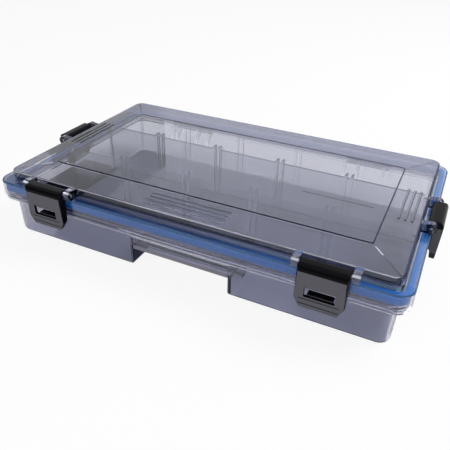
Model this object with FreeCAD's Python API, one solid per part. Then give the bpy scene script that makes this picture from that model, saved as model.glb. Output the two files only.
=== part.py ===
import FreeCAD, Part
import math
import os

from FreeCAD import Vector

os.makedirs("parts", exist_ok=True)

# A clear waterproof tackle box: a tray with a hinged lid, a silicone seal and four snap latches.
# Millimetres. X runs along the box, +Y to the hinges at the back, +Z up.
# The origin is on the underside, at the middle of the box.

# Overall plan, over the lid's skirt
lid_length = 360.0
lid_width = 225.0
skirt_corner = 13.0

# Rim round the tray, with the seat that the seal presses on
rim_top = 40.7
rim_plate = 2.2
rim_inset = 1.2
rim_lip_depth = 3.8
rim_lip_width = 2.0
seat_rise = 3.3
seat_width = 2.6

# Seal
seal_height = 8.0
seal_width = 5.2
seal_clearance = 0.2
seal_to_wall = 0.7

# Lid: skirt and flange over the seal, then the crown with its bevels and raised panel
skirt_wall = 1.8
skirt_clearance = 0.2
skirt_edge_round = 1.6
flange_plate = 2.0
crown_set_in = 0.1
crown_draft = 0.7
crown_rise = 7.8
crown_wall = 2.0
crown_round = 1.6
crown_corner = 8.5
bevel_rise = 1.3
end_bevel = 27.2
front_bevel = 30.8
back_bevel = 36.9
panel_corner = 3.0
panel_step = 0.8
panel_step_draft = 0.5

# Grip ribs on the lid's bevels, counted from the panel's edge outwards
rib_radius = 1.2
rib_sunk = 0.5
end_rib_half_length = 27.0
end_rib_gap = 9.4
end_rib_pitch = 5.2
end_rib_count = 3
front_rib_half_length = 34.8
front_rib_gap = 7.9
front_rib_pitch = 5.2
front_rib_count = 4

# Gate mark on the flange, a low dome
gate_mark_x = 70.0
gate_mark_inset = 2.5
gate_mark_radius = 1.2
gate_mark_rise = 0.5

# Fine line moulded under the panel, right of the middle
hairline_length = 60.5
hairline_end_gap = 10.6
hairline_y = -20.0
hairline_width = 0.5
hairline_depth = 0.4

# Tray
tray_wall = 2.4
floor_plate = 2.4
tray_draft = 0.8
tray_corner = 10.0
foot_round = 4.5
wall_to_lid = 3.0

# Partitions between the lanes, and the slots for dividers
back_lane = 59.0
middle_lane = 65.6
partition_plate = 2.4
partition_rise = 3.0
partition_end_gap = 3.2
slots_each_side = 2
slot_pitch = 68.0
slot_shift = -3.0
slot_rib_width = 2.0
slot_rib_depth = 2.0
slot_gap = 3.6
slot_post_rise = 3.4
slot_wall_drop = 1.5

# Hand recess under the front of the tray
recess_half_length = 44.5
recess_depth = 40.0
recess_ceiling = 17.0
recess_leg_round = 5.0
strip_drop = 10.7
strip_set_back = 2.2
strip_groove_drop = 6.3
strip_groove_width = 1.0
strip_groove_depth = 0.6

# Hinges at the back
hinge_open_gap = 0.2
hinge_drop = 1.2
hinge_barrel_radius = 3.6
hinge_pin_radius = 1.5
hinge_fit = 0.04
hinge_from_end = 52.0
outer_knuckle = 8.5
lid_knuckle_space = 24.0
inner_knuckle = 16.0
hinge_side_gap = 0.5
hinge_pin_end_gap = 0.8
hinge_blind_wall = 2.0
gusset_plate = 2.0
gusset_drop = 16.5
knuckle_web = 2.4
knuckle_web_drop = 0.2
arm_rise = 9.0

# Latches
latch_from_end = 59.5
latch_half_width = 18.3
latch_pivot_inset = 1.3
latch_barrel_radius = 3.9
latch_barrel_gap = 0.5
latch_shoulder_out = 3.0
latch_shoulder_round = 4.4
latch_taper = 0.9
latch_reach = 14.4
latch_heel_out = 0.6
latch_heel_rise = 1.3
latch_toe_out = 2.4
latch_plate = 2.6
latch_side_wall = 2.2
latch_lip = 2.4
latch_hollow_drop = 1.9
latch_corner_width = 4.5
latch_corner_height = 8.0
latch_edge_round = 1.8
latch_back_round = 0.55
latch_outline_round = 1.2
window_half_width = 11.2
window_below_lip = 0.9
window_height = 8.6
grip_half_length = 14.5
grip_below_window = 1.8
grip_groove_pitch = 4.5
grip_groove_count = 2
grip_groove_width = 0.9
grip_groove_depth = 0.7

# Ears that carry the latches, and the latch pins
ear_gap = 0.5
ear_plate = 5.5
ear_radius = 4.3
ear_top_drop = 0.2
latch_pin_radius = 1.25
latch_pin_fit = 0.06
ear_pin_fit = 0.03
latch_pin_recess = 0.8

# Snap hooks under the rim's lip
hook_half_width = 9.4
hook_clearance = 0.3
hook_reach = 3.4
hook_nose = 1.2
hook_depth = 5.1
hook_root_drop = 1.9

# How far pieces of one solid bite into each other, and how far a cutting tool runs past
overlap = 0.5
cut_margin = 1.0
sharpest_corner = 1.0
tiny = 0.01

# Worked out from the dimensions above
half_length = lid_length / 2
half_width = lid_width / 2
rim_bottom = rim_top - rim_lip_depth
seal_bottom = rim_top + seat_rise
seal_inset = skirt_wall + seal_clearance
seat_inset = seal_inset + (seal_width - seat_width) / 2
flange_bottom = seal_bottom + seal_height
flange_top = flange_bottom + flange_plate
crown_edge = flange_top + crown_rise
panel_foot = crown_edge + bevel_rise
panel_top = panel_foot + panel_step
skirt_bottom = rim_top + skirt_clearance
tray_inset = seal_inset + seal_width + seal_to_wall
tray_half_length = half_length - tray_inset
tray_half_width = half_width - tray_inset
tray_wall_top = flange_bottom - wall_to_lid
inside_half_width = tray_half_width - tray_wall
crown_inset = tray_inset + crown_set_in
crown_edge_x = half_length - crown_inset - crown_draft
crown_edge_y = half_width - crown_inset - crown_draft
panel_half_length = crown_edge_x - end_bevel
panel_front = crown_edge_y - front_bevel
panel_back = crown_edge_y - back_bevel
panel_centre = (panel_back - panel_front) / 2
panel_half_width = (panel_back + panel_front) / 2
back_partition_y = inside_half_width - back_lane - partition_plate / 2
front_partition_y = back_partition_y - middle_lane - partition_plate
partition_top = tray_wall_top + partition_rise
slot_post = slot_gap / 2 + slot_rib_width
recess_back = -half_width + recess_depth
raised_floor_top = recess_ceiling + floor_plate
strip_top = rim_top - strip_drop
strip_groove_z = strip_top - strip_groove_drop
hinge_y = half_width + hinge_barrel_radius + hinge_open_gap
hinge_z = rim_top - hinge_drop
hinge_outer = half_length - hinge_from_end
hinge_gap_end = hinge_outer - outer_knuckle
hinge_gap_start = hinge_gap_end - lid_knuckle_space
hinge_inner = hinge_gap_start - inner_knuckle
front_latch_x = half_length - latch_from_end
latch_pivot_z = flange_top + latch_barrel_radius + latch_barrel_gap
latch_top = latch_pivot_z + latch_barrel_radius
latch_face_out = latch_shoulder_out + latch_shoulder_round
latch_shoulder_z = latch_top - latch_shoulder_round
latch_bottom = rim_top - latch_reach
latch_depth = latch_face_out + latch_barrel_radius
window_bottom = rim_bottom - window_below_lip
ear_inner = latch_half_width + ear_gap
ear_outer = ear_inner + ear_plate
slope_45 = math.sin(math.radians(45))

LATCH_PLACES = ("front_left", "front_right", "left", "right")


def point(x, y, z):
    return Vector(x, y, z)


def box(x0, x1, y0, y1, z0, z1):
    return Part.makeBox(x1 - x0, y1 - y0, z1 - z0, point(x0, y0, z0))


def joined(first, *others):
    return first.fuse(list(others)).removeSplitter()


def mirrored_span(side, near, far):
    """A span along X on one side of the middle, low end first."""
    return sorted((side * near, side * far))


def rounded_outline(half_x, half_y, radius, z, centre_y=0.0):
    """A rectangle with round corners, counter-clockwise from the left-hand end of the front."""
    edges = []
    corners = ((1, -1), (1, 1), (-1, 1), (-1, -1))
    starts = (-90, 0, 90, 180)
    previous = point(-half_x + radius, centre_y - half_y, z)
    for (sx, sy), start in zip(corners, starts):
        cx = sx * (half_x - radius)
        cy = centre_y + sy * (half_y - radius)
        on_arc = []
        for turn in (0, 45, 90):
            angle = math.radians(start + turn)
            on_arc.append(point(cx + radius * math.cos(angle), cy + radius * math.sin(angle), z))
        edges.append(Part.LineSegment(previous, on_arc[0]).toShape())
        edges.append(Part.Arc(*on_arc).toShape())
        previous = on_arc[2]
    return Part.Wire(edges)


def slab(half_x, half_y, radius, z0, z1):
    outline = rounded_outline(half_x, half_y, radius, z0)
    return Part.Face(outline).extrude(point(0, 0, z1 - z0))


def ring(inset, width, z0, z1):
    """A ring that follows the skirt's plan, its outer face standing inset inside it."""
    outer = slab(half_length - inset, half_width - inset, skirt_corner - inset, z0, z1)
    inner_inset = inset + width
    inner_corner = max(skirt_corner - inner_inset, sharpest_corner)
    inner = slab(half_length - inner_inset, half_width - inner_inset, inner_corner,
                 z0 - cut_margin, z1 + cut_margin)
    return outer.cut(inner)


def tapered(lower, upper):
    """A solid between two outlines, each given as half x, half y, radius, z and centre y."""
    return Part.makeLoft([rounded_outline(*lower), rounded_outline(*upper)], True, True)


def plate_across(points_yz, x0, x1):
    """A prism along X over an outline in the YZ plane."""
    corners = [point(x0, y, z) for y, z in points_yz]
    outline = Part.makePolygon(corners + [corners[0]])
    return Part.Face(outline).extrude(point(x1 - x0, 0, 0))


def rod(radius, x0, x1, y, z):
    return Part.makeCylinder(radius, x1 - x0, point(x0, y, z), point(1, 0, 0))


def capsule(start, end, radius):
    along = end - start
    body = Part.makeCylinder(radius, along.Length, start, along)
    return joined(body, Part.makeSphere(radius, start), Part.makeSphere(radius, end))


def tangent_point(y, z, centre_y, centre_z, radius, turn):
    """Where a line from a point touches a round boss; turn is 1 or -1 for its two sides."""
    reach = math.hypot(y - centre_y, z - centre_z)
    angle = math.atan2(z - centre_z, y - centre_y) + turn * math.acos(radius / reach)
    return centre_y + radius * math.cos(angle), centre_z + radius * math.sin(angle)


# The tray

def slot_positions():
    return [slot_shift + (k + 0.5) * slot_pitch for k in range(-slots_each_side, slots_each_side)]


def slot_ribs(x, y, facing, top, bottom):
    """The two ribs of one divider slot, standing on a wall at y and facing +Y or -Y."""
    y0, y1 = sorted((y - facing * overlap, y + facing * slot_rib_depth))
    return [box(x - slot_post, x - slot_gap / 2, y0, y1, bottom, top),
            box(x + slot_gap / 2, x + slot_post, y0, y1, bottom, top)]


def partition(y, slotted_sides):
    """A partition between two lanes, with its slots and the posts that rise above them."""
    y0 = y - partition_plate / 2
    y1 = y + partition_plate / 2
    inner_end = tray_half_length - tray_wall - partition_end_gap
    low = box(-tray_half_length, tray_half_length, y0, y1, floor_plate / 2, tray_wall_top)
    pieces = [box(-inner_end, inner_end, y0, y1, tray_wall_top - overlap, partition_top)]
    post_top = partition_top + slot_post_rise
    for x in slot_positions():
        for facing in slotted_sides:
            face = y + facing * partition_plate / 2
            pieces += slot_ribs(x, face, facing, post_top, floor_plate / 2)
        pieces.append(box(x - slot_post, x - slot_gap / 2, y0, y1, partition_top - overlap, post_top))
        pieces.append(box(x + slot_gap / 2, x + slot_post, y0, y1, partition_top - overlap, post_top))
    return joined(low, *pieces)


def recess_tool():
    """The space under the raised floor, flared at its foot so that its two side edges are round."""
    front = -half_width
    r = recess_leg_round
    flares = []
    for side in (-1, 1):
        x0, x1 = mirrored_span(side, recess_half_length, recess_half_length + r)
        flare = box(x0, x1, front, recess_back, 0, r)
        leg_edge = Part.makeCylinder(r, recess_back - front,
                                     point(side * (recess_half_length + r), front, r), point(0, 1, 0))
        flares.append(flare.cut(leg_edge))
    middle = box(-recess_half_length, recess_half_length, front, recess_back, 0, recess_ceiling)
    return joined(middle, *flares)


def base_knuckle(x0, x1):
    """One knuckle of the tray: a barrel, a web back to the rim and a gusset at each end."""
    rim_y = half_width - rim_inset
    wall_y = tray_half_width - overlap
    web_top = rim_top - knuckle_web_drop
    gusset_foot = hinge_z - gusset_drop
    barrel = rod(hinge_barrel_radius, x0, x1, hinge_y, hinge_z)
    web = box(x0, x1, rim_y - overlap, hinge_y, web_top - knuckle_web, web_top)
    gusset = (
        (wall_y, gusset_foot),
        tangent_point(wall_y, gusset_foot, hinge_y, hinge_z, hinge_barrel_radius, 1),
        (hinge_y, hinge_z),
        (hinge_y, web_top),
        (wall_y, web_top),
    )
    left = plate_across(gusset, x0, x0 + gusset_plate)
    right = plate_across(gusset, x1 - gusset_plate, x1)
    return joined(barrel, web, left, right)


def tray_inside(growth):
    """The space inside the tray's walls, grown by a little where something has to bite into them."""
    inset = tray_wall - growth
    low = (
        tray_half_length - tray_draft - inset, tray_half_width - tray_draft - inset,
        tray_corner - tray_draft - inset, floor_plate - growth,
    )
    top = (
        tray_half_length - inset, tray_half_width - inset, tray_corner - inset,
        partition_top + slot_post_rise + cut_margin,
    )
    return tapered(low, top)


def tray_fittings():
    """The partitions and the slot ribs on the back wall; the front lane has no slots."""
    fittings = partition(back_partition_y, (-1, 1)).Solids + partition(front_partition_y, (1,)).Solids
    for x in slot_positions():
        fittings += slot_ribs(x, inside_half_width, -1, tray_wall_top - slot_wall_drop, floor_plate / 2)
    inside = tray_inside(overlap)
    return [piece.common(inside) for piece in fittings]


def base_tray():
    wall_plan = (tray_half_length, tray_half_width, tray_corner)
    foot_plan = (tray_half_length - tray_draft, tray_half_width - tray_draft, tray_corner - tray_draft)
    outside = tapered((*foot_plan, 0.0), (*wall_plan, rim_top))
    foot_edges = [e for e in outside.Edges if e.BoundBox.ZMax < tiny]
    outside = outside.makeFillet(foot_round, foot_edges)
    upper = slab(*wall_plan, rim_top - overlap, tray_wall_top)
    rim = slab(half_length - rim_inset, half_width - rim_inset, skirt_corner - rim_inset,
               rim_top - rim_plate, rim_top)
    lip = ring(rim_inset, rim_lip_width, rim_bottom, rim_top)
    seat = ring(seat_inset, seat_width, rim_top - overlap, seal_bottom)
    body = joined(outside, upper, rim, lip, seat)

    side = recess_half_length + tray_wall
    raised = box(-side, side, -half_width, recess_back + tray_wall, 0, raised_floor_top)
    wall_back = -inside_half_width + strip_set_back
    thick_wall = box(-side, side, -half_width, wall_back, 0, strip_top + tray_wall)
    hollow = tray_inside(0.0).cut(joined(raised, thick_wall))
    body = joined(body.cut(hollow), *tray_fittings())

    strip_face = -tray_half_width + strip_set_back
    under_rim = -half_width + rim_inset + rim_lip_width
    set_back = box(-recess_half_length, recess_half_length, under_rim, strip_face, 0, strip_top)
    groove = box(-recess_half_length, recess_half_length, strip_face - overlap,
                 strip_face + strip_groove_depth,
                 strip_groove_z - strip_groove_width / 2, strip_groove_z + strip_groove_width / 2)
    body = body.cut(recess_tool()).cut(set_back).cut(groove)

    knuckles = []
    bores = []
    for side in (-1, 1):
        for near, far in ((hinge_inner, hinge_gap_start), (hinge_gap_end, hinge_outer)):
            knuckles.append(base_knuckle(*mirrored_span(side, near, far)))
        low, high = mirrored_span(side, hinge_inner + hinge_blind_wall, hinge_outer + cut_margin)
        bores.append(rod(hinge_pin_radius + hinge_fit, low, high, hinge_y, hinge_z))
    body = joined(body, *knuckles)
    for bore in bores:
        body = body.cut(bore)
    return body


def hinge_pin(side):
    low, high = mirrored_span(side, hinge_inner + hinge_blind_wall + hinge_pin_end_gap,
                              hinge_outer - hinge_pin_end_gap)
    return rod(hinge_pin_radius, low, high, hinge_y, hinge_z)


# The lid

def lid_knuckle(side):
    """The lid's knuckle, on a wedge-shaped arm that stands off the skirt."""
    low, high = mirrored_span(side, hinge_gap_start + hinge_side_gap, hinge_gap_end - hinge_side_gap)
    in_skirt = half_width - skirt_wall / 2
    arm = (
        (in_skirt, skirt_bottom),
        (hinge_y, skirt_bottom),
        (hinge_y + hinge_barrel_radius * slope_45, hinge_z + hinge_barrel_radius * slope_45),
        (in_skirt, skirt_bottom + arm_rise),
    )
    barrel = rod(hinge_barrel_radius, low, high, hinge_y, hinge_z)
    knuckle = joined(barrel, plate_across(arm, low, high))
    bore = rod(hinge_pin_radius + hinge_fit, low - cut_margin, high + cut_margin, hinge_y, hinge_z)
    return knuckle.cut(bore)


def crown_solid(wall, lowest):
    """The crown's outside when wall is 0, and the space inside it when wall is the plate's thickness."""
    foot = (
        half_length - crown_inset - wall, half_width - crown_inset - wall,
        crown_corner + crown_draft - wall, lowest,
    )
    edge = (crown_edge_x - wall, crown_edge_y - wall, crown_corner - wall, crown_edge - wall)
    brow = (panel_half_length, panel_half_width, panel_corner, panel_foot - wall, panel_centre)
    top = (
        panel_half_length - panel_step_draft, panel_half_width - panel_step_draft,
        panel_corner - panel_step_draft, panel_top - wall, panel_centre,
    )
    crown = joined(tapered(foot, edge), tapered(edge, brow))
    if wall == 0:
        on_edge = [e for e in crown.Edges if e.BoundBox.ZMin > crown_edge - tiny
                   and e.BoundBox.ZMax < crown_edge + tiny]
        crown = crown.makeFillet(crown_round, on_edge)
    return joined(crown, tapered(brow, top))


def rib_depth(distance, bevel):
    """Height of a rib's axis at a distance out from the panel, sunk a little into the bevel."""
    return panel_foot - bevel_rise * distance / bevel - rib_sunk


def lid_ribs():
    ribs = []
    half = end_rib_half_length
    for k in range(end_rib_count):
        distance = end_rib_gap + k * end_rib_pitch
        z = rib_depth(distance, end_bevel)
        for side in (-1, 1):
            x = side * (panel_half_length + distance)
            ribs.append(capsule(point(x, -half, z), point(x, half, z), rib_radius))
    half = front_rib_half_length
    for k in range(front_rib_count):
        distance = front_rib_gap + k * front_rib_pitch
        y = -panel_front - distance
        z = rib_depth(distance, front_bevel)
        ribs.append(capsule(point(-half, y, z), point(half, y, z), rib_radius))
    return ribs


def gate_mark():
    """A low dome on the flange: the cap of a ball, rooted a little way into the plate."""
    ball = (gate_mark_radius ** 2 + gate_mark_rise ** 2) / (2 * gate_mark_rise)
    y = -half_width + gate_mark_inset
    top = flange_top + gate_mark_rise
    around = box(gate_mark_x - ball, gate_mark_x + ball, y - ball, y + ball, flange_top - overlap, top)
    return Part.makeSphere(ball, point(gate_mark_x, y, top - ball)).common(around)


def hairline():
    under = panel_top - crown_wall
    right = panel_half_length - hairline_end_gap
    return box(right - hairline_length, right, hairline_y - hairline_width / 2,
               hairline_y + hairline_width / 2, under - hairline_depth, under + overlap)


def place_latch(shape, where):
    """Carry a piece made for a latch at the middle of the front to one of the four places."""
    placed = shape.copy()
    if where in ("left", "right"):
        placed.rotate(point(0, 0, 0), point(0, 0, 1), 90 if where == "right" else -90)
        placed.translate(point(half_length if where == "right" else -half_length, 0, 0))
    else:
        x = front_latch_x if where == "front_right" else -front_latch_x
        placed.translate(point(x, -half_width, 0))
    return placed


def latch_ears():
    """A pair of ears: each is a slab off the crown's wall that ends round about the latch pin."""
    pivot_y = latch_pivot_inset
    root = crown_inset + crown_draft + crown_wall / 2
    foot_inset = skirt_edge_round * (1 - slope_45)
    foot_z = flange_top - foot_inset
    profile = (
        (root, foot_z),
        (foot_inset, foot_z),
        tangent_point(foot_inset, foot_z, pivot_y, latch_pivot_z, ear_radius, -1),
        (pivot_y, latch_pivot_z),
        (pivot_y, latch_pivot_z + ear_radius),
        (root, crown_edge - ear_top_drop),
    )
    ears = []
    for side in (-1, 1):
        x0, x1 = mirrored_span(side, ear_inner, ear_outer)
        boss = rod(ear_radius, x0, x1, pivot_y, latch_pivot_z)
        ears.append(joined(plate_across(profile, x0, x1), boss))
    return ears


def latch_pin_bore(radius):
    reach = ear_outer + cut_margin
    return rod(radius, -reach, reach, latch_pivot_inset, latch_pivot_z)


def latch_pin():
    reach = ear_outer - latch_pin_recess
    return rod(latch_pin_radius, -reach, reach, latch_pivot_inset, latch_pivot_z)


def lid():
    shell = slab(half_length, half_width, skirt_corner, skirt_bottom, flange_top)
    flange_edges = [e for e in shell.Edges if e.BoundBox.ZMin > flange_top - tiny]
    shell = shell.makeFillet(skirt_edge_round, flange_edges)
    inner = slab(half_length - skirt_wall, half_width - skirt_wall, skirt_corner - skirt_wall,
                 skirt_bottom - cut_margin, flange_bottom)
    ears = [place_latch(ear, where) for where in LATCH_PLACES for ear in latch_ears()]
    knuckles = [lid_knuckle(side) for side in (-1, 1)]
    shell = joined(shell.cut(inner), crown_solid(0, flange_bottom), *ears, *knuckles)
    shell = shell.cut(crown_solid(crown_wall, flange_bottom - cut_margin))
    shell = joined(shell, gate_mark(), hairline(), *lid_ribs())
    for where in LATCH_PLACES:
        shell = shell.cut(place_latch(latch_pin_bore(latch_pin_radius + ear_pin_fit), where))
    return shell


def seal_ring():
    return ring(seal_inset, seal_width, seal_bottom, flange_bottom)


# The latches

def latch_inner_face(z):
    """How far out the plate's inner face stands at a height."""
    slope = latch_taper / (latch_shoulder_z - latch_bottom)
    return latch_face_out - latch_plate - (latch_shoulder_z - z) * slope


def latch_profile():
    """The latch seen from its end, as a face in the YZ plane; distances out are along -Y."""
    r = latch_barrel_radius
    pivot_y = latch_pivot_inset
    heel_z = rim_top + latch_heel_rise
    drop = math.sqrt(r * r - (latch_heel_out + pivot_y) ** 2)
    heel_top = point(0, -latch_heel_out, latch_pivot_z - drop)
    under = point(0, pivot_y + r * slope_45, latch_pivot_z - r * slope_45)
    over = point(0, pivot_y, latch_top)
    shoulder_start = point(0, -latch_shoulder_out, latch_top)
    turn = latch_shoulder_round * slope_45
    shoulder_mid = point(0, -latch_shoulder_out - turn, latch_shoulder_z + turn)
    shoulder_end = point(0, -latch_face_out, latch_shoulder_z)
    toe_front = point(0, -latch_face_out + latch_taper, latch_bottom)
    toe_back = point(0, -latch_toe_out, latch_bottom)
    heel = point(0, -latch_heel_out, heel_z)
    edges = [
        Part.Arc(heel_top, under, over).toShape(),
        Part.LineSegment(over, shoulder_start).toShape(),
        Part.Arc(shoulder_start, shoulder_mid, shoulder_end).toShape(),
        Part.LineSegment(shoulder_end, toe_front).toShape(),
        Part.LineSegment(toe_front, toe_back).toShape(),
        Part.LineSegment(toe_back, heel).toShape(),
        Part.LineSegment(heel, heel_top).toShape(),
    ]
    return Part.Face(Part.Wire(edges))


def rounded_corner(before, corner, after, radius):
    """Start, middle and end of the arc that rounds one corner of an outline."""
    back = (before - corner).normalize()
    ahead = (after - corner).normalize()
    half_turn = back.getAngle(ahead) / 2
    run = radius / math.tan(half_turn)
    bisector = (back + ahead).normalize()
    centre = corner + bisector * (radius / math.sin(half_turn))
    return corner + back * run, centre - bisector * radius, corner + ahead * run


def rounded_face(corners, radii):
    """A face over a closed outline whose corners are rounded to the radii given."""
    arcs = []
    for k, corner in enumerate(corners):
        before = corners[k - 1]
        after = corners[(k + 1) % len(corners)]
        arcs.append(rounded_corner(before, corner, after, radii[k]))
    edges = []
    for k, arc in enumerate(arcs):
        edges.append(Part.Arc(*arc).toShape())
        edges.append(Part.LineSegment(arc[2], arcs[(k + 1) % len(arcs)][0]).toShape())
    return Part.Face(Part.Wire(edges))


def latch_front(half, bottom, top, radius):
    """The latch's outline from the front, its two lower corners cut off, run through in depth."""
    front = -latch_depth
    shoulder = bottom + latch_corner_height
    corners = [
        point(-half + latch_corner_width, front, bottom),
        point(half - latch_corner_width, front, bottom),
        point(half, front, shoulder),
        point(half, front, top),
        point(-half, front, top),
        point(-half, front, shoulder),
    ]
    return rounded_face(corners, [radius] * len(corners)).extrude(point(0, 2 * latch_depth, 0))


def latch_plan():
    """The latch's plan, round at its two front edges, run through in height."""
    half = latch_half_width
    back = latch_pivot_inset + latch_barrel_radius + latch_back_round
    corners = [
        point(-half, -latch_face_out, 0),
        point(half, -latch_face_out, 0),
        point(half, back, 0),
        point(-half, back, 0),
    ]
    radii = [latch_edge_round, latch_edge_round, latch_back_round, latch_back_round]
    return rounded_face(corners, radii).extrude(point(0, 0, latch_top + cut_margin))


def latch_hollow():
    """The space behind the latch's face plate, between its side walls."""
    ceiling = flange_top - latch_hollow_drop
    floor = latch_bottom + latch_lip
    inner = latch_half_width - latch_side_wall
    profile = (
        (cut_margin, ceiling),
        (-latch_inner_face(ceiling), ceiling),
        (-latch_inner_face(floor), floor),
        (cut_margin, floor),
    )
    outline = latch_front(inner, floor, ceiling, latch_outline_round / 2)
    return plate_across(profile, -inner, inner).common(outline)


def latch():
    profile = latch_profile()
    profile.translate(point(-latch_half_width, 0, 0))
    plate = profile.extrude(point(2 * latch_half_width, 0, 0))
    outline = latch_front(latch_half_width, latch_bottom, latch_top, latch_outline_round)
    plate = plate.common(latch_plan()).common(outline).cut(latch_hollow())
    window = box(-window_half_width, window_half_width, -latch_depth, 0,
                 window_bottom, window_bottom + window_height)
    plate = plate.cut(window)
    for k in range(grip_groove_count):
        z = window_bottom - grip_below_window - k * grip_groove_pitch
        face = latch_inner_face(z) + latch_plate
        plate = plate.cut(box(-grip_half_length, grip_half_length, -latch_depth, -face + grip_groove_depth,
                              z - grip_groove_width / 2, z + grip_groove_width / 2))
    return plate.cut(latch_pin_bore(latch_pin_radius + latch_pin_fit))


def latch_hook():
    """The snap hook that grows from the back of the face plate and reaches under the rim's lip."""
    top = rim_bottom - hook_clearance
    tip = rim_inset + hook_reach
    throat = top - hook_depth
    root = throat - hook_root_drop
    profile = (
        (-latch_inner_face(top), top),
        (tip, top),
        (tip, top - hook_nose),
        (0.0, throat),
        (-latch_inner_face(root), root),
    )
    return plate_across(profile, -hook_half_width, hook_half_width)


nodes = {
    "base_tray": base_tray(),
    "lid": lid(),
    "seal_ring": seal_ring(),
    "hinge_pin_left": hinge_pin(-1),
    "hinge_pin_right": hinge_pin(1),
}
for place in LATCH_PLACES:
    nodes["latch_" + place] = place_latch(latch(), place)
    nodes["latch_hook_" + place] = place_latch(latch_hook(), place)
    nodes["latch_pin_" + place] = place_latch(latch_pin(), place)

for name, shape in nodes.items():
    solids = shape.Solids
    print(name, "solids", len(solids), "valid", shape.isValid(), "volume", round(shape.Volume, 1))
    whole = solids[0] if len(solids) == 1 else Part.Compound(solids)
    whole.exportStep("parts/" + name + ".step")
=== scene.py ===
import math

import bmesh
import bpy
from mathutils import Matrix, Vector


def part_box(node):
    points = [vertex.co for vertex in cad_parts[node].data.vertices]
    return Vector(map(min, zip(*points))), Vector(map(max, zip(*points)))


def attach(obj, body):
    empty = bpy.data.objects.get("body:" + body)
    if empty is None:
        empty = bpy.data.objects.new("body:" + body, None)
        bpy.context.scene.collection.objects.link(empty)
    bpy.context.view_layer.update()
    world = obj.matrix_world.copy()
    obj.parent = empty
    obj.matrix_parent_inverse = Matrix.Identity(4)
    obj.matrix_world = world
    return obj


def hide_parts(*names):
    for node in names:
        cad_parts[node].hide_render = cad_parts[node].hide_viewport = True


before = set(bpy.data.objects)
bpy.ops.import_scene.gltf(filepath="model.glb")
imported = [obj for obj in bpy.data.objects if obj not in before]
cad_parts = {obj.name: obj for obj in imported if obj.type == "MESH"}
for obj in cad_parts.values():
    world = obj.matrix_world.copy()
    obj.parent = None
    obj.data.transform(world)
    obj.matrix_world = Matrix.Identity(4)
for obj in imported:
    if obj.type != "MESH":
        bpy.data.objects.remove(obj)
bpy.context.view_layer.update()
mm = 0.001

# The view of the photograph, solved from the edges of the lid, skirt, rim and foot
view = {
    "azimuth": 24.68,
    "elevation": 32.09,
    "roll": 1.67,
    "place": (0.1766, -0.3993, 0.2701),
    "focalPixels": 521.1,
    "imagePixels": 450,
    "sensor": 36.0,
}


# A socket of a material, with arithmetic
class Wire:
    def __init__(self, finish, socket):
        self.finish = finish
        self.socket = socket

    def __add__(self, other):
        return self.finish.maths("ADD", self, other)

    def __sub__(self, other):
        return self.finish.maths("SUBTRACT", self, other)

    def __rsub__(self, other):
        return self.finish.maths("SUBTRACT", other, self)

    def __mul__(self, other):
        return self.finish.maths("MULTIPLY", self, other)

    def __gt__(self, other):
        return self.finish.maths("GREATER_THAN", self, other)

    def __lt__(self, other):
        return self.finish.maths("LESS_THAN", self, other)

    __radd__ = __add__
    __rmul__ = __mul__


# A material or a world whose nodes are made one call each
class Finish:
    def __init__(self, name, owner=None):
        self.owner = owner or bpy.data.materials.new(name)
        self.owner.use_nodes = True
        self.tree = self.owner.node_tree
        self.tree.nodes.clear()

    def node(self, kind, settings, sockets, out=0):
        made = self.tree.nodes.new(kind)
        for key, value in settings.items():
            setattr(made, key, value)
        for key, value in sockets.items():
            if isinstance(value, Wire):
                self.tree.links.new(value.socket, made.inputs[key])
            else:
                made.inputs[key].default_value = value
        return Wire(self, made.outputs[out])

    def maths(self, operation, first, second=0.0):
        return self.node("ShaderNodeMath", {"operation": operation}, {0: first, 1: second})

    # 1 where the value is inside the span, else 0
    def between(self, value, span):
        return (value > span[0]) * (value < span[1])

    # climbs from 0 to 1 over the span
    def fade(self, value, span):
        return self.node("ShaderNodeMapRange", {}, {"Value": value, "From Min": span[0], "From Max": span[1]})

    def mixed(self, mask, first, second):
        sockets = {"Factor": mask, "A": first, "B": second}
        return self.node("ShaderNodeMix", {"data_type": "RGBA"}, sockets, "Result")

    def coordinates(self, kind):
        return self.node("ShaderNodeTexCoord", {}, {}, kind)

    # the X, Y and Z of a kind of coordinates
    def parts(self, kind):
        split = self.node("ShaderNodeSeparateXYZ", {}, {0: self.coordinates(kind)})
        return [Wire(self, output) for output in split.socket.node.outputs]

    # how much of the coordinates goes a fixed way
    def along(self, kind, way):
        sockets = {0: self.coordinates(kind), 1: way}
        return self.node("ShaderNodeVectorMath", {"operation": "DOT_PRODUCT"}, sockets, "Value")

    def ray(self, question):
        return self.node("ShaderNodeLightPath", {}, {}, question)

    def noise(self, scale, detail):
        sockets = {"Vector": self.coordinates("Object"), "Scale": scale, "Detail": detail}
        return self.node("ShaderNodeTexNoise", {}, sockets, "Fac")

    def bump(self, height, distance):
        return self.node("ShaderNodeBump", {}, {"Height": height, "Distance": distance})

    def matt(self, colour):
        return self.node("ShaderNodeBsdfDiffuse", {}, {"Color": colour})

    def clear(self, colour):
        return self.node("ShaderNodeBsdfTransparent", {}, {"Color": colour})

    def blended(self, mask, first, second):
        return self.node("ShaderNodeMixShader", {}, {0: mask, 1: first, 2: second})

    def finished(self, surface, volume=None):
        isWorld = isinstance(self.owner, bpy.types.World)
        output = self.tree.nodes.new("ShaderNodeOutputWorld" if isWorld else "ShaderNodeOutputMaterial")
        self.tree.links.new(surface.socket, output.inputs["Surface"])
        if volume:
            self.tree.links.new(volume.socket, output.inputs["Volume"])
        return self.owner


# Where a point is on its piece, in metres, and which way its surface looks there
class Spot:
    def __init__(self, finish):
        self.across, self.depth, self.height = finish.parts("Object")
        self.aside, self.forward, self.upward = finish.parts("Normal")
        self.sideways = finish.maths("ABSOLUTE", self.across)
        self.turned = finish.maths("ABSOLUTE", self.aside)


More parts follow.
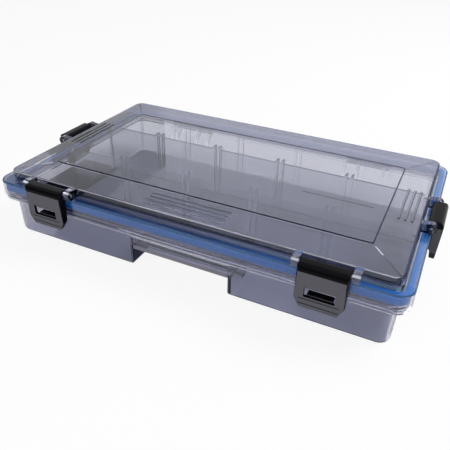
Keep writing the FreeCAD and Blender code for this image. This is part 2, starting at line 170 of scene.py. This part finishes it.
# The clear plastic of the tray and the lid; places are in metres, and a tilt, turn or facing is a part of the
# normal that a face has
smoke = {
    "ior": 1.49,
    "roughness": 0.02,
    "waveScale": 14.0,
    "waveDetail": 1.0,
    "waveHeight": 0.000003,
    "bodyColour": (0.40, 0.43, 0.60, 1.0),
    "bodyDensity": 40.0,
    "letsLampsThrough": (0.44, 0.46, 0.52, 1.0),
    "wall": (0.0546, 0.0612),       # the crown's wall, and the top edges of the tray under it
    "wallTilt": (-0.5, 0.5),
    # painted shade on the crown's wall and the tray's top edges under it
    "wallShadeTint": (0.28, 0.30, 0.37, 1.0),
    "edgeShadeMix": 0.7,
    "glintColour": (0.85, 0.85, 0.92, 1.0),
}

# Painted shade and light: where the flange and the seal under it go from dark to bright, from left to right
shadeFadeToRight = (0.02, 0.13)


# painted shade: the crown's wall and the tray's top edges under it get a darker tint
def shadedWalls(finish, spot, tint):
    wall = finish.between(spot.height, smoke["wall"]) * finish.between(spot.upward, smoke["wallTilt"])
    return finish.mixed(wall, tint, smoke["wallShadeTint"])


def smokeSurface(finish, tint, roughness):
    wave = finish.noise(smoke["waveScale"], smoke["waveDetail"])
    return finish.node("ShaderNodeBsdfPrincipled", {}, {
        "Base Color": tint,
        "Roughness": roughness,
        "IOR": smoke["ior"],
        "Transmission Weight": 1.0,
        "Normal": finish.bump(wave, smoke["waveHeight"]),
    })


# the plastic darkens the further light goes through it, and lamps light what is behind it
def smokeBody(finish, surface):
    throughShadow = finish.clear(smoke["letsLampsThrough"])
    surface = finish.blended(finish.ray("Is Shadow Ray"), surface, throughShadow)
    body = finish.node("ShaderNodeVolumeAbsorption", {}, {
        "Color": smoke["bodyColour"], "Density": smoke["bodyDensity"]})
    return finish.finished(surface, body)


tray = {
    "tint": (0.725, 0.73, 0.79, 1.0),
    "backLaneFrom": 0.0436,
    # painted light: the back lane is tinted paler, for the brighter floor seen through it
    "backLaneLightTint": (0.86, 0.865, 0.895, 1.0),
    "wallSlots": (0.0999, 0.1021),
    "partitionSlots": (0.0382, 0.0458),
    "slotTurn": 0.5,
    # painted shade on the sides of the slot ribs
    "slotShadeTint": (0.50, 0.51, 0.60, 1.0),
    "aboveFloor": 0.004,
    "frontFacing": -0.9,
    "frontWall": -0.1,
    "frontWallTop": 0.036,
    # painted light and shade: the front wall is paler, lightest on the left and shaded towards the right
    "frontFade": (-0.16, 0.04),
    "frontLitLeft": (0.99, 0.94, 0.98, 1.0),
    "frontShadedRight": (0.86, 0.84, 0.88, 1.0),
    # painted shade for the tray's narrow edges
    "edgeShadeColour": (0.20, 0.21, 0.28, 1.0),
    "topsFrom": 0.0515,
    "topsTilt": 0.9,
    "stripEnd": 0.0445,             # the strip over the hand recess
    "stripFront": -0.1015,
    "groove": (0.0231, 0.0243),
    "lip": (0.0165, 0.0205),
    "lipTilt": -0.3,
    # painted light: a pale band on the lip of the strip
    "lipLightColour": (0.42, 0.40, 0.48, 1.0),
    "lipLightMix": 0.5,
    "legEdge": (0.0440, 0.0453),    # the upright edges at the ends of the recess
    "legEdgeTop": 0.0198,
    "legFront": -0.098,
    "legFacing": -0.5,
    "legSide": (-0.0455, -0.0435),  # the left end of the recess
    "legSideTop": 0.0195,
    "legSideBack": -0.0715,
    "legSideTurn": 0.5,
    # painted shade on the left end of the recess
    "legSideShade": (0.012, 0.014, 0.035, 1.0),
    "legSideShadeMix": 0.85,
    # painted highlight along the rim
    "rim": (0.0366, 0.0375),
    "rimTilt": -0.9,
    "rimFront": -0.1105,
    "rimEnd": 0.178,
    "rimGlintMix": 0.55,
    "frontPartition": (-0.0275, -0.0245),
    "partitionEnd": 0.166,
    "partitionTint": (0.93, 0.93, 0.94, 1.0),
    "partitionFade": 0.75,
}


def trayTint(finish, spot):
    # painted light on the back lane
    tint = finish.mixed(spot.depth > tray["backLaneFrom"], tray["tint"], tray["backLaneLightTint"])
    # painted shade: the slot ribs' sides get a darker tint
    slots = finish.between(spot.depth, tray["wallSlots"]) + finish.between(spot.depth, tray["partitionSlots"])
    slotSides = slots * (spot.turned > tray["slotTurn"]) * (spot.height > tray["aboveFloor"])
    tint = finish.mixed(slotSides, tint, tray["slotShadeTint"])
    # painted light on the front wall, fading to painted shade on the right
    front = (spot.forward < tray["frontFacing"]) * (spot.depth < tray["frontWall"])
    toRight = finish.fade(spot.across, tray["frontFade"])
    frontLightTint = finish.mixed(toRight, tray["frontLitLeft"], tray["frontShadedRight"])
    tint = finish.mixed(front * (spot.height < tray["frontWallTop"]), tint, frontLightTint)
    return shadedWalls(finish, spot, tint)


# the narrow edges that show as dark or light lines, painted shade for the dark ones and a painted highlight
# on the rim, the lip's painted pale band, painted shade at the left end of the recess, and the front
# partition, which hardly shows
def trayEdges(finish, spot, surface):
    tops = (spot.height > tray["topsFrom"]) * (spot.upward > tray["topsTilt"]) * (spot.depth > 0)
    onStrip = (spot.sideways < tray["stripEnd"]) * (spot.depth < tray["stripFront"])
    groove = onStrip * finish.between(spot.height, tray["groove"])
    legEdge = finish.between(spot.sideways, tray["legEdge"]) * (spot.height < tray["legEdgeTop"])
    legEdge = legEdge * (spot.forward < tray["legFacing"]) * (spot.depth < tray["legFront"])
    # painted shade: the tops, the groove and the recess's upright edges are darkened
    dark = (tops + groove + legEdge) * smoke["edgeShadeMix"]
    surface = finish.blended(dark, surface, finish.matt(tray["edgeShadeColour"]))
    # painted shade on the left end of the recess
    legSide = finish.between(spot.across, tray["legSide"]) * (spot.aside > tray["legSideTurn"])
    legSide = legSide * (spot.height < tray["legSideTop"]) * (spot.depth < tray["legSideBack"])
    surface = finish.blended(legSide * tray["legSideShadeMix"], surface, finish.matt(tray["legSideShade"]))
    # painted highlight: a light line along the rim
    outside = finish.maths("MAXIMUM", spot.depth < tray["rimFront"], spot.sideways > tray["rimEnd"])
    rim = finish.between(spot.height, tray["rim"]) * (spot.upward > tray["rimTilt"]) * outside
    surface = finish.blended(rim * tray["rimGlintMix"], surface, finish.matt(smoke["glintColour"]))
    # painted light on the lip
    lip = onStrip * finish.between(spot.height, tray["lip"]) * (spot.forward < tray["lipTilt"])
    surface = finish.blended(lip * tray["lipLightMix"], surface, finish.matt(tray["lipLightColour"]))
    partition = finish.between(spot.depth, tray["frontPartition"]) * (spot.sideways < tray["partitionEnd"])
    partition = partition * (spot.height > tray["aboveFloor"]) * tray["partitionFade"]
    return finish.blended(partition, surface, finish.clear(tray["partitionTint"]))


def smokeTray():
    finish = Finish("smokeTray")
    spot = Spot(finish)
    surface = smokeSurface(finish, trayTint(finish, spot), smoke["roughness"])
    return smokeBody(finish, trayEdges(finish, spot, surface))


lid = {
    "tint": (0.745, 0.75, 0.82, 1.0),
    "flange": (0.0532, 0.0543),
    "flangeTilt": 0.5,
    "flangeFront": -0.098,
    # painted shade on the front flange at the left, painted light at the right and on the ends
    "flangeShadeTint": (0.22, 0.32, 0.50, 1.0),
    "flangeLitRight": (0.15, 0.52, 0.90, 1.0),
    "flangeLitEnd": (0.55, 0.78, 0.88, 1.0),
    "hairlineHeight": (0.0612, 0.0626),   # the fine line moulded under the panel
    "hairlineDepth": (-0.0205, -0.0195),
    "hairlineReach": (0.073, 0.1335),
    # the moulded hairline's colour, and painted shade for the dark lines at the panel's edges, the crown's
    # ends and the creases
    "hairlineAndShadeColour": (0.02, 0.022, 0.06, 1.0),
    "panelStep": (0.0631, 0.06388),
    "stepTilt": (-0.5, 0.9),
    # painted shade on the step round the panel
    "stepShadeTint": (0.08, 0.085, 0.15, 1.0),
    "ribEnd": 0.04,                       # the four grip ribs at the front
    "ribDepth": (-0.097, -0.077),
    "ribFoot": 0.0622,
    "ribTilt": 0.995,
    "ribFacing": -0.1,
    "ribRoughness": 0.3,
    "endRibsFrom": 0.147,
    "endRibFoot": 0.0615,
    "endRibTurn": 0.1,
    # painted shade on the sides of the ribs
    "ribSideShade": (0.16, 0.17, 0.26, 1.0),
    # painted light: the band behind the panel is rougher and gets a pale matt colour, for the light coming
    # through it from behind
    "hazyFrom": 0.067,                    # the smooth paler band behind the panel
    "hazyRoughness": 0.16,
    "backBandLightTilt": 0.5,
    "backBandLightColour": (0.29, 0.30, 0.41, 1.0),
    "backBandLightMix": 0.4,
    "skirtEdge": (0.0520, 0.0542),
    "skirtTilt": (0.15, 0.97),
    # painted shade on the flange's outer fillet
    "skirtEdgeShade": (0.05, 0.12, 0.26, 1.0),
    "crownEdge": (0.0600, 0.0622),
    "crownTilt": (0.50, 0.84),
    "crownFacing": -0.3,
    "crownGlint": 0.5,
    "crownEndTurn": (0.4, 0.95),
    "panelEdgesFrom": 0.0630,
    "panelBack": 0.0669,
    "panelFront": -0.0715,
    "panelEnd": 0.1435,
    "backEdge": (-0.0021, 0.0005),        # from panelBack
    "endEdge": (-0.0004, 0.0004),         # from panelEnd
    "endEdgeMix": 0.8,
    "lineShadeMix": 0.85,
    "creaseEnd": 0.1441,                  # the bevels' creases start at this corner of the panel
    "creaseFront": -0.0730,
    "creaseFoot": 0.0614,
    "frontCrease": (0.749, 0.662),        # a crease's own cross direction: outward, and along the depth
    "frontCreaseHalf": 0.0005,
    "frontGlint": (0.002, 0.010),         # the light start of a front crease; its dark part follows
    "backCrease": (0.805, 0.593),
    "backCreaseHalf": 0.0007,
    "backCreaseFrom": 0.004,
    "creaseOut": 0.002,
    "glintOut": 0.001,
    # painted shade along the creases, and a painted highlight at the start of the front ones
    "creaseShadeMix": 0.45,
    "creaseGlint": 0.6,
}


def frontRibs(finish, spot):
    place = (spot.sideways < lid["ribEnd"]) * finish.between(spot.depth, lid["ribDepth"])
    return place * (spot.height > lid["ribFoot"]) * (spot.upward < lid["ribTilt"])


def lidTint(finish, spot, ribs):
    tint = shadedWalls(finish, spot, lid["tint"])
    # painted shade and light on the flange
    flange = finish.between(spot.height, lid["flange"]) * (spot.upward > lid["flangeTilt"])
    front = finish.mixed(finish.fade(spot.across, shadeFadeToRight), lid["flangeShadeTint"], lid["flangeLitRight"])
    flangeShadeTint = finish.mixed(spot.depth < lid["flangeFront"], lid["flangeLitEnd"], front)
    tint = finish.mixed(flange, tint, flangeShadeTint)
    hairline = finish.between(spot.height, lid["hairlineHeight"])
    hairline = hairline * finish.between(spot.depth, lid["hairlineDepth"])
    hairline = hairline * finish.between(spot.across, lid["hairlineReach"])
    tint = finish.mixed(hairline, tint, lid["hairlineAndShadeColour"])
    # painted shade on the panel's step
    step = finish.between(spot.height, lid["panelStep"]) * finish.between(spot.upward, lid["stepTilt"])
    tint = finish.mixed(step, tint, lid["stepShadeTint"])
    # painted shade on the ribs' sides
    endRibs = (spot.sideways > lid["endRibsFrom"]) * (spot.height > lid["endRibFoot"])
    shadedRibSides = endRibs * (spot.aside > lid["endRibTurn"]) + ribs * (spot.forward < lid["ribFacing"])
    return finish.mixed(shadedRibSides, tint, lid["ribSideShade"])


# masks for the creases that run out from the panel's corners: painted shade as dark lines, and a painted
# highlight as a light start at the front
def lidCreases(finish, spot):
    out = spot.sideways - lid["creaseEnd"]
    ahead = lid["creaseFront"] - spot.depth
    behind = spot.depth - lid["panelBack"]
    (frontOut, frontAlong), (backOut, backAlong) = lid["frontCrease"], lid["backCrease"]
    onFront = finish.maths("ABSOLUTE", out * frontOut - ahead * frontAlong) < lid["frontCreaseHalf"]
    onBack = finish.maths("ABSOLUTE", out * backOut - behind * backAlong) < lid["backCreaseHalf"]
    onBevel = spot.height > lid["creaseFoot"]
    dark = onFront * (ahead > lid["frontGlint"][1]) + onBack * (behind > lid["backCreaseFrom"])
    dark = dark * (out > lid["creaseOut"]) * onBevel * lid["creaseShadeMix"]
    light = onFront * finish.between(ahead, lid["frontGlint"]) * (out > lid["glintOut"]) * onBevel
    return dark, light


# masks for the painted shade that makes dark lines at the panel's back and ends and at the ends of the crown
def lidLines(finish, spot, crown):
    back = finish.between(spot.depth - lid["panelBack"], lid["backEdge"]) * (spot.sideways < lid["panelEnd"])
    ends = finish.between(spot.sideways - lid["panelEnd"], lid["endEdge"]) * lid["endEdgeMix"]
    ends = ends * finish.between(spot.depth, (lid["panelFront"], lid["panelBack"]))
    panel = finish.maths("MAXIMUM", back, ends) * (spot.height > lid["panelEdgesFrom"])
    return finish.maths("MAXIMUM", panel, crown * finish.between(spot.aside, lid["crownEndTurn"]))


def lidEdges(finish, spot, hazy, surface):
    light = finish.matt(smoke["glintColour"])
    crown = finish.between(spot.height, lid["crownEdge"])
    glint = crown * finish.between(spot.upward, lid["crownTilt"]) * (spot.forward < lid["crownFacing"])
    surface = finish.blended(glint * lid["crownGlint"], surface, light)
    # painted light on the band behind the panel
    backBandLight = hazy * (spot.upward > lid["backBandLightTilt"]) * lid["backBandLightMix"]
    surface = finish.blended(backBandLight, surface, finish.matt(lid["backBandLightColour"]))
    darkCrease, lightCrease = lidCreases(finish, spot)
    surface = finish.blended(lightCrease * lid["creaseGlint"], surface, light)
    # painted shade: dark lines at the panel's edges, the crown's ends and the creases
    lines = finish.maths("MAXIMUM", lidLines(finish, spot, crown), darkCrease)
    surface = finish.blended(lines * lid["lineShadeMix"], surface, finish.matt(lid["hairlineAndShadeColour"]))
    # painted shade on the flange's outer fillet
    skirt = finish.between(spot.height, lid["skirtEdge"]) * finish.between(spot.upward, lid["skirtTilt"])
    return finish.blended(skirt * smoke["edgeShadeMix"], surface, finish.matt(lid["skirtEdgeShade"]))


def smokeLid():
    finish = Finish("smokeLid")
    spot = Spot(finish)
    ribs = frontRibs(finish, spot)
    hazy = (spot.height > smoke["wall"][1]) * (spot.depth > lid["hazyFrom"])
    roughness = hazy * (lid["hazyRoughness"] - smoke["roughness"]) + smoke["roughness"]
    roughness = roughness + ribs * (lid["ribRoughness"] - smoke["roughness"])
    surface = smokeSurface(finish, lidTint(finish, spot, ribs), roughness)
    return smokeBody(finish, lidEdges(finish, spot, hazy, surface))


silicone = {
    "colour": (0.015, 0.24, 0.70, 1.0),
    "paler": (0.03, 0.29, 0.82, 1.0),
    # painted shade on the seal's top, lighter to the right
    "topShadeColour": (0.006, 0.10, 0.30, 1.0),
    "topShadeRight": (0.012, 0.24, 0.68, 1.0),
    "topTilt": (0.2, 0.8),
    "cloudScale": 9.0,
    "roughness": 0.42,
    "roughnessSpread": 0.1,
    "grainScale": 900.0,
    "grainHeight": 0.00004,
    "detail": 2.0,
}


def blueSilicone():
    finish = Finish("blueSilicone")
    cloud = finish.noise(silicone["cloudScale"], silicone["detail"])
    grain = finish.noise(silicone["grainScale"], silicone["detail"])
    spread = silicone["roughnessSpread"]
    side = finish.mixed(cloud, silicone["colour"], silicone["paler"])
    # painted shade: the top faces are darker, less so to the right
    toRight = finish.fade(finish.parts("Object")[0], shadeFadeToRight)
    top = finish.mixed(toRight, silicone["topShadeColour"], silicone["topShadeRight"])
    onTop = finish.fade(finish.parts("Normal")[2], silicone["topTilt"])
    surface = finish.node("ShaderNodeBsdfPrincipled", {}, {
        "Base Color": finish.mixed(onTop, side, top),
        "Roughness": grain * spread + (silicone["roughness"] - spread / 2),
        "Normal": finish.bump(grain, silicone["grainHeight"]),
    })
    return finish.finished(surface)


latchBlack = {
    "colour": (0.002, 0.002, 0.003, 1.0),
    "faceColour": (0.105, 0.105, 0.122, 1.0),
    "specular": 0.06,
    "glossRoughness": 0.16,
    "faceRoughness": 0.5,
    "faceTop": 0.0566,
    "faceOn": 0.96,
    "frontOn": -0.9,
    "grainScale": 2600.0,
    "grainDetail": 1.0,
    "grainHeight": 0.00003,
}


# black plastic, polished on the barrel and the sides, grained on the face; outward is the way the face looks
def latchPlastic(name, outward):
    finish = Finish(name)
    height = finish.parts("Object")[2]
    forward = finish.parts("Normal")[1]
    shown = finish.maths("MAXIMUM", finish.along("Normal", outward) > latchBlack["faceOn"],
                         forward < latchBlack["frontOn"])
    face = shown * (height < latchBlack["faceTop"])
    grain = finish.noise(latchBlack["grainScale"], latchBlack["grainDetail"])
    gloss = latchBlack["glossRoughness"]
    surface = finish.node("ShaderNodeBsdfPrincipled", {}, {
        "Base Color": finish.mixed(face, latchBlack["colour"], latchBlack["faceColour"]),
        "Roughness": face * (latchBlack["faceRoughness"] - gloss) + gloss,
        "Specular IOR Level": latchBlack["specular"],
        "Normal": finish.bump(grain * face, latchBlack["grainHeight"]),
    })
    return finish.finished(surface)


steel = {
    "colour": (0.42, 0.42, 0.44, 1.0),
    "roughness": 0.32,
    "roughnessSpread": 0.2,
    "brushScale": 700.0,
    "brushDetail": 3.0,
}


def pinSteel():
    finish = Finish("pinSteel")
    brush = finish.noise(steel["brushScale"], steel["brushDetail"])
    spread = steel["roughnessSpread"]
    surface = finish.node("ShaderNodeBsdfPrincipled", {}, {
        "Base Color": steel["colour"],
        "Metallic": 1.0,
        "Roughness": brush * spread + (steel["roughness"] - spread / 2),
    })
    return finish.finished(surface)


def dress(node, material):
    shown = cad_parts[node]
    shown.data.materials.clear()
    shown.data.materials.append(material)


def addObject(name, data):
    made = bpy.data.objects.new(name, data)
    bpy.context.scene.collection.objects.link(made)
    return made


# The seal's rounded band, lengths in mm; its height and plan come from the solid that it replaces
seal = {
    "width": 5.2,
    "cornerRadius": 8.4,
    "cornerSteps": 14,
    "sectionSteps": 28,
    "squareness": 3.2,
    "shrink": 0.06,
}


# the band's middle line round the lid's plan: each point, and the way out there
def bandPath(low, high):
    radius = seal["cornerRadius"] * mm
    halfX = high.x - seal["width"] * mm / 2
    halfY = high.y - seal["width"] * mm / 2
    middle = (low.z + high.z) / 2
    path = []
    for sx, sy, start in ((1, -1, -90), (1, 1, 0), (-1, 1, 90), (-1, -1, 180)):
        centre = Vector((sx * (halfX - radius), sy * (halfY - radius), middle))
        for k in range(seal["cornerSteps"] + 1):
            angle = math.radians(start + 90 * k / seal["cornerSteps"])
            out = Vector((math.cos(angle), math.sin(angle), 0))
            path.append((centre + out * radius, out))
    return path


# the band's section, between an oval and a rectangle: steps outward and upward from the middle
def bandSection(height):
    power = 2 / seal["squareness"]
    halfWidth = (seal["width"] / 2 - seal["shrink"]) * mm
    halfHeight = height / 2 - seal["shrink"] * mm
    section = []
    for k in range(seal["sectionSteps"]):
        turn = 2 * math.pi * k / seal["sectionSteps"]
        c, s = math.cos(turn), math.sin(turn)
        section.append((math.copysign(abs(c) ** power, c) * halfWidth,
                        math.copysign(abs(s) ** power, s) * halfHeight))
    return section


# one closed ring: the section carried round the path
def sealRing(material):
    low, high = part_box("seal_ring")
    section = bandSection(high.z - low.z)
    shape = bmesh.new()
    rings = []
    for place, out in bandPath(low, high):
        rings.append([shape.verts.new(place + out * x + Vector((0, 0, z))) for x, z in section])
    for here, there in zip(rings, rings[1:] + rings[:1]):
        for k in range(len(here)):
            n = (k + 1) % len(here)
            shape.faces.new((here[k], there[k], there[n], here[n]))
    bmesh.ops.recalc_face_normals(shape, faces=shape.faces)
    mesh = bpy.data.meshes.new("sealBand")
    shape.to_mesh(mesh)
    shape.free()
    for face in mesh.polygons:
        face.use_smooth = True
    band = addObject("sealBand", mesh)
    mesh.materials.append(material)
    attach(band, "lid")
    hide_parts("seal_ring")


# The surroundings: white to the eye, softer on matt surfaces, and darker in mirrors on the dim side
studio = {
    "white": (1.0, 1.0, 1.0, 1.0),
    "ambient": 0.45,
    "ambientThroughPlastic": 0.4,
    "shadeBlue": (0.78, 0.85, 1.0, 1.0),
    "dimSide": (-0.45, -0.8, -0.5),
    "dimFrom": 0.15,
    "dimTo": 0.6,
    "dimmest": 0.2,
    "firstMattBounce": 0.5,
    "bounces": 24,
}


def buildWorld():
    world = bpy.data.worlds.new("studioWorld")
    bpy.context.scene.world = world
    finish = Finish("studioWorld", world)
    camera = finish.ray("Is Camera Ray")
    inPlastic = finish.ray("Is Transmission Ray") * (1 - camera)
    seen = finish.node("ShaderNodeMapRange", {"interpolation_type": "SMOOTHSTEP"}, {
        "Value": finish.along("Generated", studio["dimSide"]), "From Min": studio["dimFrom"],
        "From Max": studio["dimTo"], "To Min": 1.0, "To Max": studio["dimmest"]})
    clean = finish.ray("Diffuse Depth") < studio["firstMattBounce"]
    mirrored = clean * (1 - camera)
    dimmed = (1 - clean) * inPlastic
    matt = (1 - clean) * (1 - inPlastic)
    strength = camera + mirrored * seen + dimmed * studio["ambientThroughPlastic"] + matt * studio["ambient"]
    colour = finish.mixed(dimmed, studio["white"], studio["shadeBlue"])
    finish.finished(finish.node("ShaderNodeBackground", {}, {"Color": colour, "Strength": strength}))


whiteFloor = {
    "size": 6.0,
    "drop": 0.0003,
    "colour": (0.9, 0.9, 0.9, 1.0),
    "glow": 0.88,
    "glowInGloss": 0.3,
}


# a matt white floor that mostly glows to the camera, glows less in glossy surfaces, and to all else doesn't
def buildFloor():
    half = whiteFloor["size"] / 2
    mesh = bpy.data.meshes.new("studioFloor")
    corners = [(-half, -half), (half, -half), (half, half), (-half, half)]
    mesh.from_pydata([(x, y, -whiteFloor["drop"]) for x, y in corners], [], [(0, 1, 2, 3)])
    floor = addObject("studioFloor", mesh)
    finish = Finish("floorWhite")
    camera = finish.ray("Is Camera Ray")
    inPlastic = finish.ray("Is Transmission Ray") * (1 - camera)
    inGloss = finish.ray("Is Glossy Ray") * (1 - inPlastic) * (1 - camera)
    seen = camera * whiteFloor["glow"] + inGloss * whiteFloor["glowInGloss"]
    glow = finish.node("ShaderNodeEmission", {}, {"Color": studio["white"], "Strength": 1.0})
    mesh.materials.append(finish.finished(finish.blended(seen, finish.matt(whiteFloor["colour"]), glow)))


# The painted shadow card: a flat piece on the floor left of the box, and a standing piece further out
shadowCard = {
    "near": -0.163,
    "far": -0.216,
    "front": -0.062,
    "back": 0.046,
    "lift": 0.00015,
    "wallAt": -0.26,
    "wallFront": 0.03,
    "wallBack": 0.3,
    "top": 0.25,
    "colour": (0.03, 0.04, 0.075, 1.0),
}


# a dark card that shows only through the plastic: painted shadow of the box on the floor at its left, and a
# standing dark sheet for the shade further out
def buildShadowCard():
    near, far, front, back = (shadowCard[k] for k in ("near", "far", "front", "back"))
    wallAt, wallFront, wallBack, top = (shadowCard[k] for k in ("wallAt", "wallFront", "wallBack", "top"))
    flat = [(x, y, shadowCard["lift"]) for x, y in ((near, front), (near, back), (far, back), (far, front))]
    standing = [(wallAt, y, z) for y, z in ((wallFront, 0), (wallBack, 0), (wallBack, top), (wallFront, top))]
    mesh = bpy.data.meshes.new("paintedShadowCard")
    mesh.from_pydata(flat + standing, [], [(0, 1, 2, 3), (4, 5, 6, 7)])
    paintedShadowCard = addObject("paintedShadowCard", mesh)
    finish = Finish("cardShadow")
    mesh.materials.append(finish.finished(finish.matt(shadowCard["colour"])))
    paintedShadowCard.visible_camera = False
    paintedShadowCard.visible_glossy = False
    paintedShadowCard.visible_diffuse = False
    paintedShadowCard.visible_shadow = False


# mirrored, lights and seenThrough say whether glossy, matt and clear surfaces take a lamp; they do by default
lamps = (
    {"name": "rightKey", "place": (0.9, 0.5, 1.2), "aim": (0, 0, 0.03), "size": (0.9, 0.9),
     "power": 17, "mirrored": False},
    {"name": "edgeStrip", "place": (-0.39, -0.33, 0.97), "aim": (0, 0, 0.05), "size": (0.5, 0.06),
     "power": 1.2, "lights": False},
    {"name": "cornerCard", "place": (0.25, -0.77, 0.89), "aim": (0, 0, 0.05), "size": (0.13, 0.13),
     "power": 2, "lights": False},
    {"name": "frontFill", "place": (-0.4, -1.3, 0.55), "aim": (0, 0, 0.03), "size": (0.8, 0.8),
     "power": 5, "mirrored": False, "seenThrough": False},
)


def buildLamps():
    for lamp in lamps:
        light = bpy.data.lights.new(lamp["name"], "AREA")
        light.shape = "RECTANGLE"
        light.size, light.size_y = lamp["size"]
        light.energy = lamp["power"]
        holder = addObject(lamp["name"], light)
        holder.location = lamp["place"]
        aim = Vector(lamp["aim"]) - Vector(lamp["place"])
        holder.rotation_euler = aim.to_track_quat("-Z", "Y").to_euler()
        holder.visible_glossy = lamp.get("mirrored", True)
        holder.visible_diffuse = lamp.get("lights", True)
        holder.visible_transmission = lamp.get("seenThrough", True)


def buildCamera():
    azimuth, elevation, roll = (math.radians(view[k]) for k in ("azimuth", "elevation", "roll"))
    back = Vector((math.sin(azimuth) * math.cos(elevation), -math.cos(azimuth) * math.cos(elevation),
                   math.sin(elevation)))
    level = (-back).cross(Vector((0, 0, 1))).normalized()
    upright = level.cross(-back)
    right = level * math.cos(roll) + upright * math.sin(roll)
    up = upright * math.cos(roll) - level * math.sin(roll)
    data = bpy.data.cameras.new("photoView")
    data.sensor_width = view["sensor"]
    data.lens = view["sensor"] * view["focalPixels"] / view["imagePixels"]
    camera = addObject("photoView", data)
    camera.matrix_world = Matrix.Translation(view["place"]) @ Matrix((right, up, back)).transposed().to_4x4()
    bpy.context.scene.camera = camera


bpy.context.scene.view_settings.view_transform = "Standard"
bpy.context.scene.cycles.max_bounces = studio["bounces"]
bpy.context.scene.cycles.transmission_bounces = studio["bounces"]
buildCamera()
buildWorld()
buildFloor()
buildShadowCard()
buildLamps()
print("studio and camera ready")

dress("base_tray", smokeTray())
dress("lid", smokeLid())
steelMaterial = pinSteel()
frontMaterial = latchPlastic("latchFront", (0, -1, 0))
endMaterials = {
    "left": latchPlastic("latchLeftEnd", (-1, 0, 0)),
    "right": latchPlastic("latchRightEnd", (1, 0, 0)),
}
for place in ("front_left", "front_right", "left", "right"):
    material = endMaterials.get(place, frontMaterial)
    dress("latch_" + place, material)
    dress("latch_hook_" + place, material)
    dress("latch_pin_" + place, steelMaterial)
for side in ("left", "right"):
    dress("hinge_pin_" + side, steelMaterial)
print("plastic, latches and pins dressed")

sealRing(blueSilicone())
print("seal made")
